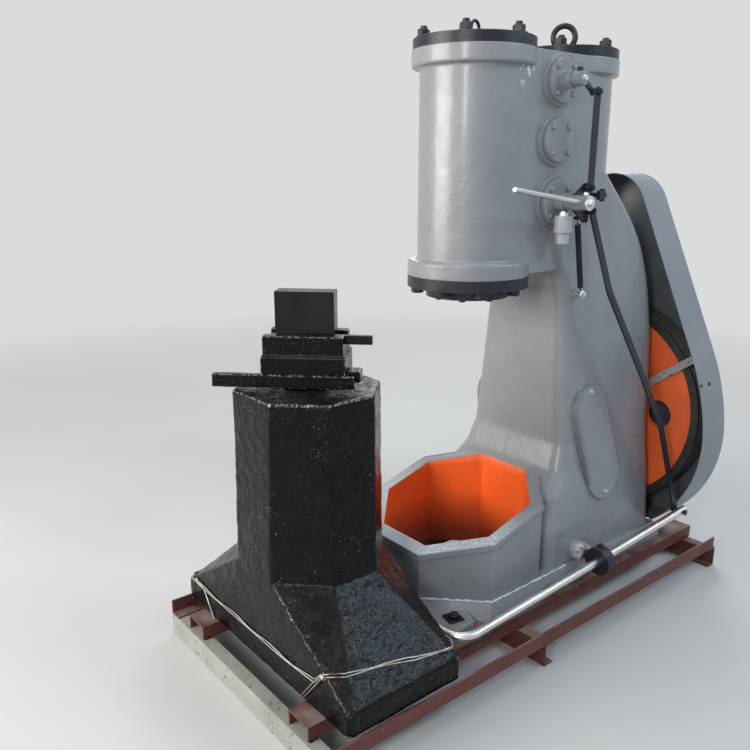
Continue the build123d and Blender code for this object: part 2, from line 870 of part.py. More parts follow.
# Inspection covers, one on each side
with BuildPart() as right_inspection_cover:
    with BuildSketch(cover_plane):
        SlotCenterToCenter(cover_span, 2 * cover_radius, rotation=cover_turn)
    extrude(amount=cover_plate)
finish(right_inspection_cover.part, "right_inspection_cover")
finish(right_inspection_cover.part.mirror(Plane.XZ), "left_inspection_cover")


# Flywheel on the end of the crankshaft
wheel_back = flywheel_face + flywheel_width
web_front = flywheel_face + web_setback
rim_inside = flywheel_radius - rim_thickness
wheel_profile = [
    (flywheel_face - wheel_hub_proud, crank_radius + running_fit),
    (flywheel_face - wheel_hub_proud, wheel_hub_radius),
    (web_front, wheel_hub_radius),
    (web_front, rim_inside),
    (flywheel_face, rim_inside),
    (flywheel_face, flywheel_radius),
    (wheel_back, flywheel_radius),
    (wheel_back, rim_inside),
    (web_front + web_thickness, rim_inside),
    (web_front + web_thickness, wheel_hub_radius),
    (wheel_back + wheel_hub_proud, wheel_hub_radius),
    (wheel_back + wheel_hub_proud, crank_radius + running_fit),
]


groove = [
    (-groove_width / 2, 0),
    (groove_width / 2, 0),
    (groove_floor_width / 2, -groove_depth),
    (-groove_floor_width / 2, -groove_depth),
]
with BuildPart() as flywheel:
    with BuildSketch(Plane.XZ):
        Polygon(*[(x, flywheel_z + radius) for x, radius in wheel_profile], align=None)
        with Locations((flywheel_face + flywheel_width / 2, flywheel_z + flywheel_radius)):
            with GridLocations(groove_pitch, 0, groove_count, 1):
                Polygon(*groove, align=None, mode=Mode.SUBTRACT)
    revolve(axis=Axis((0, 0, flywheel_z), (1, 0, 0)))
    with BuildSketch(Plane.YZ.offset(flywheel_face)):
        with Locations((0, flywheel_z)):
            with PolarLocations(web_hole_circle, web_holes):
                Circle(web_hole_radius)
    extrude(amount=flywheel_width, mode=Mode.SUBTRACT)
finish(flywheel.part, "flywheel")

with BuildPart() as crankshaft:
    with BuildSketch(Plane.YZ.offset(rear_face - crank_depth)):
        with Locations((0, flywheel_z)):
            Circle(crank_radius)
    extrude(amount=wheel_back + shaft_end - rear_face + crank_depth)
finish(crankshaft.part, "crankshaft")


def turned(centre, radius, angle):
    return (
        centre[0] + radius * math.cos(math.radians(angle)),
        centre[1] + radius * math.sin(math.radians(angle)),
    )


# The guard's sides are a low arc, a flat arc and a straight run up to the top arc
guard_centre = flywheel_z - guard_drop
guard_radius = flywheel_radius + guard_room
guard_side = turned((0, guard_centre), guard_radius - guard_side_radius, guard_low_turn)
guard_top_radius = (
    math.cos(math.radians(guard_slope)) * guard_side[0]
    + math.sin(math.radians(guard_slope)) * (guard_side[1] - guard_top_z)
    + guard_side_radius
)


def guard_face(inset):
    """Face of the guard in y and z, moved inwards by the inset."""
    low = (0, guard_centre)
    bottom = guard_floor + inset
    corner = math.sqrt((guard_radius - inset) ** 2 - (guard_centre - bottom) ** 2)
    middle_turn = (guard_low_turn + guard_slope) / 2
    with BuildSketch() as face:
        with BuildLine() as outline:
            Line((0, bottom), (corner, bottom))
            ThreePointArc(
                (corner, bottom),
                (guard_radius - inset, guard_centre),
                turned(low, guard_radius - inset, guard_low_turn),
            )
            ThreePointArc(
                turned(low, guard_radius - inset, guard_low_turn),
                turned(guard_side, guard_side_radius - inset, middle_turn),
                turned(guard_side, guard_side_radius - inset, guard_slope),
            )
            Line(
                turned(guard_side, guard_side_radius - inset, guard_slope),
                turned((0, guard_top_z), guard_top_radius - inset, guard_slope),
            )
            ThreePointArc(
                turned((0, guard_top_z), guard_top_radius - inset, guard_slope),
                turned((0, guard_top_z), guard_top_radius - inset, (90 + guard_slope) / 2),
                (0, guard_top_z + guard_top_radius - inset),
            )
            mirror(outline.edges(), about=Plane.YZ)
        make_face()
    return face.sketch


guard_back_x = guard_front + guard_depth - guard_sheet
with BuildPart() as belt_guard:
    with BuildSketch(Plane.YZ.offset(guard_front)):
        add(guard_face(0))
        add(guard_face(guard_sheet), mode=Mode.SUBTRACT)
    extrude(amount=guard_back_x - guard_front)
    with BuildSketch(Plane.XY.offset(guard_floor)):
        with Locations((guard_front, 0)):
            Rectangle(2 * guard_notch_depth, 2 * guard_notch_half)
    extrude(amount=2 * guard_sheet, mode=Mode.SUBTRACT)
finish(belt_guard.part, "belt_guard")

with BuildPart() as guard_back:
    with BuildSketch(Plane.YZ.offset(guard_back_x)):
        add(guard_face(0))
    extrude(amount=guard_sheet)
finish(guard_back.part, "guard_back")

# Straps from the back of the column to the guard, with their ends bent along it
strap_reach = guard_side_radius - guard_sheet - seat_gap - strap_thickness
strap_tip = turned(guard_side, strap_reach, strap_tip_turn)
strap_run = (strap_tip[0] - strap_root[0], strap_tip[1] - strap_root[1])
strap_turn = math.degrees(math.atan2(strap_run[1], strap_run[0]))
strap_middle = ((strap_root[0] + strap_tip[0]) / 2, (strap_root[1] + strap_tip[1]) / 2)
with BuildPart() as left_strap:
    with BuildSketch(Plane.YZ.offset(rear_face)):
        with Locations(Location((*strap_middle, 0), (0, 0, strap_turn))):
            Rectangle(math.hypot(*strap_run) + strap_width, strap_width)
        add(guard_face(guard_sheet + seat_gap), mode=Mode.INTERSECT)
    extrude(amount=strap_thickness)
    with BuildSketch(Plane.YZ.offset(rear_face)):
        add(guard_face(guard_sheet + seat_gap))
        add(guard_face(guard_sheet + seat_gap + strap_thickness), mode=Mode.SUBTRACT)
        with Locations(Location((*strap_tip, 0), (0, 0, strap_tip_turn))):
            Rectangle(strap_foot, strap_width, mode=Mode.INTERSECT)
    extrude(amount=strap_foot)
finish(left_strap.part, "guard_strap_left")
finish(left_strap.part.mirror(Plane.XZ), "guard_strap_right")

# Anvil base, with its cap, keys and die turned to the ram's working corner
anvil_foot = (anvil_half_depth, anvil_half_length, anvil_clip)
with BuildPart() as anvil:
    with BuildSketch(Plane.XY.offset(deck)):
        with Locations((anvil_x, 0)):
            Polygon(*octagon(*anvil_foot), align=None)
    extrude(amount=anvil_band)
    for (low, low_plan), (high, high_plan) in (
        ((deck + anvil_band, anvil_foot), (anvil_neck, neck_half)),
        ((anvil_neck, neck_half), (anvil_top, top_half)),
    ):
        for z, plan in ((low, low_plan), (high, high_plan)):
            with BuildSketch(Plane.XY.offset(z)):
                with Locations((anvil_x, 0)):
                    Polygon(*octagon(*plan), align=None)
        loft(ruled=True)
    with BuildSketch(Plane.XY.offset(anvil_top)):
        with Locations(Location((anvil_x, 0, 0), (0, 0, -cap_turn))):
            Rectangle(2 * seat_half, 2 * seat_half)
    extrude(amount=seat_height)
finish(anvil.part, "anvil")

# Cap coordinates run along the working corner and away from it, with heights from its seat
cap_seat = Plane(origin=(anvil_x, 0, anvil_top + seat_height), x_dir=(1, -1, 0), z_dir=(0, 0, 1))


def block(start, end, near, far, bottom, top):
    """Upright box in the cap's coordinates."""
    with BuildPart() as box:
        with BuildSketch(cap_seat.offset(bottom)):
            with Locations(((start + end) / 2, (near + far) / 2)):
                Rectangle(end - start, far - near)
        extrude(amount=top - bottom)
    return box.part


cap_top = cap_foot + cap_head
groove_floor = cap_top - dovetail_depth
die_foot = cap_top + die_lift
with BuildPart() as anvil_cap:
    add(block(-cap_half_length, cap_half_length, -cap_half_depth, cap_half_depth, 0, cap_foot))
    add(
        block(
            -cap_head_half_length,
            cap_head_half_length,
            -cap_head_half_depth,
            cap_head_half_depth,
            cap_foot,
            cap_top,
        )
    )
    add(
        block(-cap_half_length, cap_half_length, -cap_half_depth, -cap_key_inside, 0, cap_key_height - cap_key_drop),
        mode=Mode.SUBTRACT,
    )
    add(
        block(-cap_half_length, cap_half_length, -dovetail_half, dovetail_half, groove_floor, cap_top),
        mode=Mode.SUBTRACT,
    )
finish(anvil_cap.part, "anvil_cap")
finish(
    block(
        cap_key_start,
        cap_key_end,
        -cap_half_depth - 1,
        -cap_key_inside,
        -cap_key_drop,
        cap_key_height - cap_key_drop,
    ),
    "cap_key",
)
finish(
    block(cap_half_length, wedge_end, wedge_near, wedge_far, wedge_foot, wedge_foot + wedge_height),
    "cap_wedge",
)

with BuildPart() as lower_die:
    add(block(-die_length / 2, die_length / 2, -die_depth / 2, die_depth / 2, die_foot, die_foot + die_height))
    add(block(-die_length / 2, die_length / 2, die_key_width - dovetail_half, dovetail_half - 1, groove_floor, die_foot))
finish(lower_die.part, "lower_die")
finish(
    block(die_key_start, die_key_end, -dovetail_half, die_key_width - dovetail_half, groove_floor, cap_top - 1),
    "die_key",
)
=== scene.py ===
import math
import random

import bmesh
import bpy
import numpy as np
from mathutils import Matrix, Vector, noise


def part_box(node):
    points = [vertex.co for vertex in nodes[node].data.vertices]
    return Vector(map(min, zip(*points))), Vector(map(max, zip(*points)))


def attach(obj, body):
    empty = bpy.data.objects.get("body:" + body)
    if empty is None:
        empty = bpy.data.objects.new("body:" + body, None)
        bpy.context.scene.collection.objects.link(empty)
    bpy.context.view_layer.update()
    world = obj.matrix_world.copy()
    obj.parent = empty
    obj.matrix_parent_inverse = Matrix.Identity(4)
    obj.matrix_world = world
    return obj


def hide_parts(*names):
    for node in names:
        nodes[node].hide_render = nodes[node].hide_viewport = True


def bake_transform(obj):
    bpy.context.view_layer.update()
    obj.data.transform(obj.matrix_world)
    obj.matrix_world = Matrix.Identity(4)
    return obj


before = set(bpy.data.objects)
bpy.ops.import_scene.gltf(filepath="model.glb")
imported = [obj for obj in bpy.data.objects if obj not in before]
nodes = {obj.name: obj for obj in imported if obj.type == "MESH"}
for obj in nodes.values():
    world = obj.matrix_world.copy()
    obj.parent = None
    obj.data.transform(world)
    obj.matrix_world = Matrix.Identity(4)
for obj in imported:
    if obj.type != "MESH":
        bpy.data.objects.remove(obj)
random.seed(7)
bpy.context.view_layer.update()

# Places on the machine that the boxes of its nodes don't give, in metres
WELL_X = 0.028
LUG_TOP = 0.160
FOOT_TOP = 0.188
GLAND_FACE = 1.219
GLAND_BOLTS = 0.176
VALVE_FACE = -0.203
CRANK_FACE = -0.272
HUB_FACE = -0.235
LEVER_FACE = -0.324
LINK_FACE = -0.290
LINK_FOOT = -0.407
UPPER_VALVE = (0.269, 1.883)
MIDDLE_VALVE = (0.260, 1.698)
LOWER_VALVE = (0.270, 1.499)
UPPER_PIN = (0.327, 1.845)
UPPER_LINK_PIN = (0.323, 1.547)
LONG_LINK_PIN = (0.339, 1.472)
SPRING_LOW = (0.404, -0.218, 1.178)
SPRING_HIGH = (0.328, -0.238, 1.447)
PIVOT_BOSS = (0.370, -0.335, 0.229)
GROUND_RIM = (-0.150, -0.230, 0.385)
FLANGE_FLAKES = (0.105, -0.166, 1.900)
COVER_CENTRE = (0.513, -0.2547, 0.610)
COVER_LEAN = 0.134
COVER_PLATE = 0.008
# Sloping foot of the anvil: half depth and height at its bottom edge, and the run and rise of its slope
FLARE_HALF = 0.471
FLARE_LOW = 0.203
FLARE_RUN = 0.241
FLARE_RISE = 0.230
WIRE_RADIUS = 0.0022
WIRE_STANDOFF = 0.0025


# Materials

class Shader:
    """One node material, with small helpers for sums and masks in object coordinates."""

    def __init__(self, name):
        self.material = bpy.data.materials.new(name)
        self.material.use_nodes = True
        self.tree = self.material.node_tree
        self.surface = self.tree.nodes["Principled BSDF"]
        self.where = self.add("ShaderNodeTexCoord").outputs["Object"]
        split = self.add("ShaderNodeSeparateXYZ", Vector=self.where)
        self.x, self.y, self.z = split.outputs

    def add(self, kind, **inputs):
        node = self.tree.nodes.new(kind)
        for key, value in inputs.items():
            self.put(node.inputs[key.replace("_", " ")], value)
        return node

    def put(self, socket, value):
        if isinstance(value, bpy.types.NodeSocket):
            self.tree.links.new(value, socket)
        else:
            socket.default_value = value

    def math(self, operation, a, b=0.0, clamp=False):
        node = self.tree.nodes.new("ShaderNodeMath")
        node.operation = operation
        node.use_clamp = clamp
        self.put(node.inputs[0], a)
        self.put(node.inputs[1], b)
        return node.outputs[0]

    def step(self, value, low, high):
        """0 below low, 1 above high. Low may be the larger of the two."""
        node = self.add("ShaderNodeMapRange", Value=value, From_Min=low, From_Max=high)
        return node.outputs[0]

    def ramp(self, value, low, high, start, end):
        node = self.add(
            "ShaderNodeMapRange", Value=value, From_Min=low, From_Max=high, To_Min=start, To_Max=end
        )
        return node.outputs[0]

    def noise(self, scale, detail=4.0, stretch=None):
        where = self.where
        if stretch:
            where = self.add("ShaderNodeMapping", Vector=where, Scale=stretch).outputs[0]
        node = self.add("ShaderNodeTexNoise", Vector=where, Scale=scale, Detail=detail)
        return node.outputs["Fac"]

    def cells(self, scale):
        return self.add("ShaderNodeTexVoronoi", Vector=self.where, Scale=scale).outputs["Distance"]

    def mix(self, share, a, b):
        node = self.tree.nodes.new("ShaderNodeMix")
        node.data_type = "RGBA"
        self.put(node.inputs[0], share)
        for socket, value in ((node.inputs[6], a), (node.inputs[7], b)):
            self.put(socket, value if isinstance(value, bpy.types.NodeSocket) else (*value, 1.0))
        return node.outputs[2]

    def bump(self, height, distance, strength=1.0, normal=None):
        node = self.add("ShaderNodeBump", Height=height, Distance=distance, Strength=strength)
        if normal is not None:
            self.put(node.inputs["Normal"], normal)
        return node.outputs[0]

    def rounded(self, radius):
        """Normal with edges and corners rounded, and a mask of those edges."""
        node = self.add("ShaderNodeBevel", Radius=radius)
        node.samples = 6
        sharp = self.add("ShaderNodeNewGeometry").outputs["Normal"]
        turn = self.tree.nodes.new("ShaderNodeVectorMath")
        turn.operation = "DOT_PRODUCT"
        self.put(turn.inputs[0], node.outputs[0])
        self.put(turn.inputs[1], sharp)
        return node.outputs[0], self.step(turn.outputs["Value"], 0.985, 0.90)

    def near(self, place, inner, outer):
        """1 within the inner distance of a place, 0 past the outer one."""
        node = self.tree.nodes.new("ShaderNodeVectorMath")
        node.operation = "DISTANCE"
        self.put(node.inputs[0], self.where)
        node.inputs[1].default_value = place
        return self.step(node.outputs["Value"], outer, inner)

    def facing(self):
        """Separate parts of the surface's normal, in the row frame."""
        normal = self.add("ShaderNodeNewGeometry").outputs["Normal"]
        return self.add("ShaderNodeSeparateXYZ", Vector=normal).outputs

    def done(self, **inputs):
        for key, value in inputs.items():
            name = key.replace("_", " ")
            if name == "Base Color" and not isinstance(value, bpy.types.NodeSocket):
                value = (*value, 1.0)
            self.put(self.surface.inputs[name], value)
        return self.material


def dusty(shader, colour, amount=0.5):
    """Dust on faces that look up, thicker low down, in uneven patches."""
    up = shader.step(shader.facing()[2], 0.35, 0.95)
    patches = shader.step(shader.noise(9.0, 5.0), 0.38, 0.62)
    low = shader.ramp(shader.z, 0.1, 1.4, 1.0, 0.35)
    share = shader.math("MULTIPLY", low, amount)
    share = shader.math("MULTIPLY", shader.math("MULTIPLY", up, patches), share)
    return shader.mix(share, colour, (0.30, 0.27, 0.23))


def paint(name, colour, shade, rough=0.4, grain=0.0008, fine=0.0002, dust=0.3, chips=0.0,
          under=(0.2, 0.18, 0.16), gloss=0.5):
    """Enamel with uneven tone, cast grain and chips down to the metal."""
    s = Shader(name)
    tone = s.mix(s.step(s.noise(5.0, 6.0), 0.3, 0.7), colour, shade)
    chip = s.step(s.noise(70.0, 3.0), 0.80 - chips * 0.2, 0.82 - chips * 0.2)
    if chips:
        tone = s.mix(chip, tone, under)
    normal = s.bump(s.noise(38.0, 3.0), grain)
    normal = s.bump(s.noise(260.0, 2.0), fine, normal=normal)
    return s.done(
        Base_Color=dusty(s, tone, dust),
        Roughness=s.ramp(s.noise(14.0, 5.0), 0.3, 0.7, rough - 0.08, rough + 0.12),
        Normal=normal,
        Specular_IOR_Level=gloss,
    )


def metal(name, colour, shade, rough=0.35, stretch=(1, 1, 1), rust=0.0):
    """Bare or plated metal with drawn streaks and a little rust."""
    s = Shader(name)
    tone = s.mix(s.step(s.noise(30.0, 6.0, stretch), 0.3, 0.7), colour, shade)
    spots = s.step(s.noise(24.0, 8.0), 0.72 - rust, 0.80 - rust)
    tone = s.mix(spots, tone, (0.11, 0.045, 0.02))
    return s.done(
        Base_Color=tone,
        Metallic=s.ramp(spots, 0.0, 1.0, 1.0, 0.2),
        Roughness=s.ramp(s.noise(60.0, 4.0, stretch), 0.3, 0.7, rough - 0.08, rough + 0.15),
        Normal=s.bump(s.noise(300.0, 2.0, stretch), 0.0002),
    )


def frame_enamel():
    """Bluish-grey enamel on the casting, with orange primer in the well, darker towards the well's bottom, a
    bare, ground patch on the rim, a painted highlight on the rim's lip, and edges lightened partly by wear
    and partly as painted highlight.
    """
    s = Shader("enamel")
    curve = s.math("MULTIPLY", s.step(s.x, 0.53, 0.47), s.step(s.z, 0.90, 0.80))
    curve = s.math("MULTIPLY", curve, s.step(s.z, 0.44, 0.48))
    soft, edges = s.rounded(s.ramp(curve, 0.0, 1.0, 0.007, 0.050))
    edges = s.math("MULTIPLY", edges, s.math("SUBTRACT", 1.0, curve))
    tone = s.mix(s.step(s.noise(4.0, 6.0), 0.3, 0.7), (0.238, 0.246, 0.258), (0.200, 0.208, 0.222))
    runs = s.step(s.noise(12.0, 4.0, (1, 1, 0.12)), 0.60, 0.75)
    tone = s.mix(s.math("MULTIPLY", runs, 0.2), tone, (0.30, 0.32, 0.345))
    across = s.math("ABSOLUTE", s.math("SUBTRACT", s.x, WELL_X))
    along = s.math("ABSOLUTE", s.y)
    octagon = s.math("MAXIMUM", s.math("DIVIDE", across, 0.255), s.math("DIVIDE", along, 0.261))
    octagon = s.math("MAXIMUM", octagon, s.math("DIVIDE", s.math("ADD", across, along), 0.365))
    inside = s.math("MULTIPLY", s.step(octagon, 1.006, 1.003), s.step(s.z, 0.60, 0.59))
    wall = s.mix(s.step(s.noise(7.0, 6.0), 0.3, 0.7), (1.0, 0.150, 0.023), (0.90, 0.115, 0.016))
    # The well's walls turn darker towards the bottom, by height with a little noise.
    well_bottom_darkening = s.step(s.math("ADD", s.z, s.math("MULTIPLY", s.noise(10.0, 4.0), 0.06)), 0.37, 0.20)
    wall = s.mix(s.math("MULTIPLY", well_bottom_darkening, 0.8), wall, (0.06, 0.018, 0.010))
    rim = s.math("MULTIPLY", s.step(s.facing()[2], 0.90, 0.95), s.step(octagon, 1.30, 1.22))
    rim = s.math("MULTIPLY", rim, s.math("MULTIPLY", s.step(s.z, 0.30, 0.33), s.step(s.x, 0.12, -0.06)))
    grit = s.step(s.noise(150.0, 3.0), 0.40, 0.62)
    ground = s.mix(grit, (0.30, 0.33, 0.36), (0.78, 0.81, 0.84))
    worked = s.near(GROUND_RIM, 0.10, 0.20)
    # The rim's up-facing lip is lightened here as a painted highlight, standing in for the light that falls
    # on it. The ground patch below is real wear.
    tone = s.mix(s.math("MULTIPLY", rim, 0.55), tone, (0.46, 0.49, 0.53))
    worked = s.math("MULTIPLY", rim, worked)
    tone = s.mix(s.math("MULTIPLY", worked, 0.8), tone, ground)
    bare = s.math("MULTIPLY", s.near(PIVOT_BOSS, 0.035, 0.055), s.step(s.noise(60.0, 5.0), 0.42, 0.55))
    tone = s.mix(bare, tone, (0.62, 0.62, 0.60))
    flakes = s.math("MULTIPLY", s.near(FLANGE_FLAKES, 0.010, 0.055), s.step(s.noise(55.0, 3.0), 0.60, 0.63))
    tone = s.mix(flakes, tone, (0.75, 0.77, 0.80))
    # Edges are lightened: partly wear on the edges, partly a painted highlight along them.
    tone = s.mix(s.math("MULTIPLY", edges, 0.25), tone, (0.46, 0.49, 0.52))
    tone = s.mix(inside, tone, wall)
    normal = s.bump(s.noise(16.0, 3.0), 0.0026, normal=soft)
    normal = s.bump(s.noise(70.0, 4.0), 0.0009, normal=normal)
    normal = s.bump(s.noise(300.0, 2.0), 0.00045, normal=normal)
    normal = s.bump(s.math("MULTIPLY", worked, s.noise(170.0, 4.0)), 0.004, normal=normal)
    return s.done(
        Base_Color=dusty(s, tone, 0.22),
        Roughness=s.ramp(s.noise(18.0, 5.0), 0.3, 0.7, 0.26, 0.42),
        Normal=normal,
        Coat_Weight=0.25,
        Coat_Roughness=0.16,
    )


def bitumen():
    """Thick glossy black coat, with runs and pimples, and painted glints: pale flecks along its edges and in
    clusters.
    """
    s = Shader("bitumen")
    tone = s.mix(s.step(s.noise(26.0, 8.0), 0.58, 0.72), (0.0012, 0.0012, 0.0022), (0.0045, 0.0042, 0.0042))
    # Pale flecks on sharp edges and in scattered clusters are painted glints, highlights set into the base
    # colour.
    edges = s.add("ShaderNodeNewGeometry").outputs["Pointiness"]
    painted_glints = s.math("MULTIPLY", s.step(edges, 0.530, 0.570), s.step(s.noise(110.0, 5.0), 0.48, 0.55))
    spots = s.math("MULTIPLY", s.step(s.noise(230.0, 2.0), 0.70, 0.73), s.step(s.noise(8.0, 5.0), 0.52, 0.60))
    painted_glints = s.math("MAXIMUM", painted_glints, spots)
    tone = s.mix(s.math("MULTIPLY", painted_glints, 0.85), tone, (0.50, 0.53, 0.57))
    pimples = s.step(s.cells(140.0), 0.34, 0.05)
    clusters = s.step(s.noise(9.0, 5.0), 0.47, 0.60)
    normal = s.bump(s.noise(13.0, 4.0), 0.003)
    normal = s.bump(s.noise(48.0, 6.0, (1, 1, 0.6)), 0.0032, normal=normal)
    normal = s.bump(s.math("MULTIPLY", pimples, clusters), 0.008, normal=normal)
    normal = s.bump(s.noise(240.0, 3.0), 0.0009, normal=normal)
    return s.done(
        Base_Color=dusty(s, tone, 0.06),
        Roughness=s.ramp(s.noise(22.0, 6.0), 0.35, 0.7, 0.06, 0.20),
        Normal=normal,
        Specular_IOR_Level=0.19,
    )


def wheel_paint():
    """Orange web and hub inside a black rim."""
    s = Shader("orange_primer")
    height = s.math("SUBTRACT", s.z, 0.642)
    radius = s.math("SQRT", s.math("ADD", s.math("MULTIPLY", s.y, s.y), s.math("MULTIPLY", height, height)))
    orange = s.mix(s.step(s.noise(6.0, 6.0), 0.3, 0.7), (0.90, 0.150, 0.036), (0.74, 0.110, 0.026))
    iron = s.mix(s.noise(40.0, 6.0), (0.010, 0.010, 0.010), (0.05, 0.045, 0.04))
    return s.done(
        Base_Color=s.mix(s.step(radius, 0.4030, 0.4036), orange, iron),
        Roughness=s.ramp(s.noise(30.0, 4.0), 0.3, 0.7, 0.35, 0.55),
        Normal=s.bump(s.noise(60.0, 4.0), 0.0012),
    )


def guard_paint():
    """Grey sheet outside, with painted shade inside: the same grey darkened where the inside lies in shadow.
    The inside looks towards the middle of the guard.
    """
    s = Shader("guard_grey")
    nx, ny, nz = s.facing()
    out = s.math("ADD", s.math("MULTIPLY", ny, s.y), s.math("MULTIPLY", nz, s.math("SUBTRACT", s.z, 0.9)))
    out = s.math("ADD", out, s.math("MULTIPLY", s.math("MAXIMUM", nx, 0.0), 1.0))
    edge = s.step(s.x, 0.8716, 0.8712)
    grey = s.mix(s.step(s.noise(3.0, 6.0), 0.3, 0.7), (0.215, 0.232, 0.256), (0.185, 0.200, 0.222))
    # The inside gets a darker copy of the grey as painted shade.
    painted_inner_shade = s.mix(s.step(s.noise(8.0, 5.0), 0.3, 0.7), (0.10, 0.106, 0.115), (0.14, 0.147, 0.155))
    return s.done(
        Base_Color=s.mix(s.math("MAXIMUM", s.step(out, 0.01, 0.03), edge), painted_inner_shade, grey),
        Roughness=s.ramp(s.noise(12.0, 4.0), 0.3, 0.7, 0.30, 0.46),
        Normal=s.bump(s.noise(24.0, 3.0), 0.0010),
    )


def drain_metal():
    """Pale cast body under a bright turned cap."""
    s = Shader("drain_metal")
    tone = s.mix(s.step(s.noise(20.0, 5.0), 0.3, 0.7), (0.38, 0.39, 0.40), (0.30, 0.31, 0.32))
    soft, edges = s.rounded(0.002)
    cap = s.step(s.z, 1.4565, 1.4575)
    tone = s.mix(edges, tone, (0.62, 0.63, 0.63))
    return s.done(
        Base_Color=s.mix(cap, tone, (0.80, 0.80, 0.79)),
        Metallic=s.math("MULTIPLY", cap, 0.9),
        Roughness=s.ramp(s.noise(40.0, 4.0), 0.3, 0.7, 0.26, 0.42),
        Normal=s.bump(s.noise(180.0, 3.0), 0.0004, normal=soft),
    )


def crank_paint(name, axis, radius):
    """Grey boss round a spindle, and black arms and pins outside it."""
    s = Shader(name)
    across, up = s.math("SUBTRACT", s.x, axis[0]), s.math("SUBTRACT", s.z, axis[1])
    away = s.math("SQRT", s.math("ADD", s.math("MULTIPLY", across, across), s.math("MULTIPLY", up, up)))
    grey = s.mix(s.step(s.noise(24.0, 5.0), 0.35, 0.65), (0.20, 0.22, 0.245), (0.14, 0.155, 0.175))
    black = s.mix(s.step(s.noise(30.0, 5.0), 0.35, 0.65), (0.010, 0.011, 0.016), (0.022, 0.023, 0.028))
    return s.done(
        Base_Color=s.mix(s.step(away, radius, radius + 0.0006), grey, black),
        Roughness=s.ramp(s.noise(40.0, 4.0), 0.3, 0.7, 0.28, 0.44),
        Normal=s.bump(s.noise(90.0, 4.0), 0.0008),
    )


looks = {
    "enamel": frame_enamel(),
    "black_paint": paint(
        "black_paint", (0.010, 0.011, 0.018), (0.018, 0.019, 0.027), 0.34, 0.0006, 0.0002, 0.10, gloss=0.35
    ),
    "guard_grey": guard_paint(),
    "orange_primer": wheel_paint(),
    "primer_red": paint(
        "primer_red", (0.135, 0.034, 0.030), (0.085, 0.024, 0.022), 0.55, 0.0008, 0.0003, 0.5, 0.6
    ),
    "beam_grey": paint(
        "beam_grey", (0.34, 0.34, 0.325), (0.24, 0.237, 0.225), 0.5, 0.0008, 0.0003, 0.5, 0.8,
        (0.09, 0.065, 0.035),
    ),
    "bitumen": bitumen(),
    "bright_steel": metal("bright_steel", (0.72, 0.72, 0.71), (0.50, 0.495, 0.49), 0.28, (0.2, 1, 1), 0.02),
    "worn_iron": metal("worn_iron", (0.035, 0.033, 0.031), (0.06, 0.055, 0.05), 0.45, (1, 1, 1), 0.03),
    "zinc_steel": metal("zinc_steel", (0.72, 0.73, 0.73), (0.56, 0.57, 0.58), 0.30, (1, 1, 1), 0.0),
    "die_black": paint(
        "die_black", (0.0045, 0.0042, 0.0038), (0.010, 0.009, 0.0075), 0.24, 0.0006, 0.0003, 0.05, gloss=0.22
    ),
    "drain_metal": drain_metal(),
    "upper_crank": crank_paint("upper_crank_paint", UPPER_VALVE, 0.0245),
    "lever_crank": crank_paint("lever_crank_paint", LOWER_VALVE, 0.0245),
    "filler": paint("filler", (0.66, 0.68, 0.70), (0.45, 0.48, 0.51), 0.45, 0.0006, 0.0006, 0.1),
    "wire": metal("wire", (0.55, 0.52, 0.48), (0.30, 0.27, 0.24), 0.35, (1, 1, 1), 0.08),
}
for node in nodes.values():
    for place in node.material_slots:
        place.material = looks[place.material.name.split(".")[0]]
for name, look in (
    ("drain_fitting", "drain_metal"),
    ("upper_crank", "upper_crank"),
    ("lever_crank", "lever_crank"),
    ("lower_die", "die_black"),
    ("die_key", "die_black"),
):
    nodes[name].material_slots[0].material = looks[look]


# Small pieces

def turned_to(axis, spin=0.0):
    return Vector(axis).to_track_quat("Z", "Y").to_matrix().to_4x4() @ Matrix.Rotation(spin, 4, "Z")


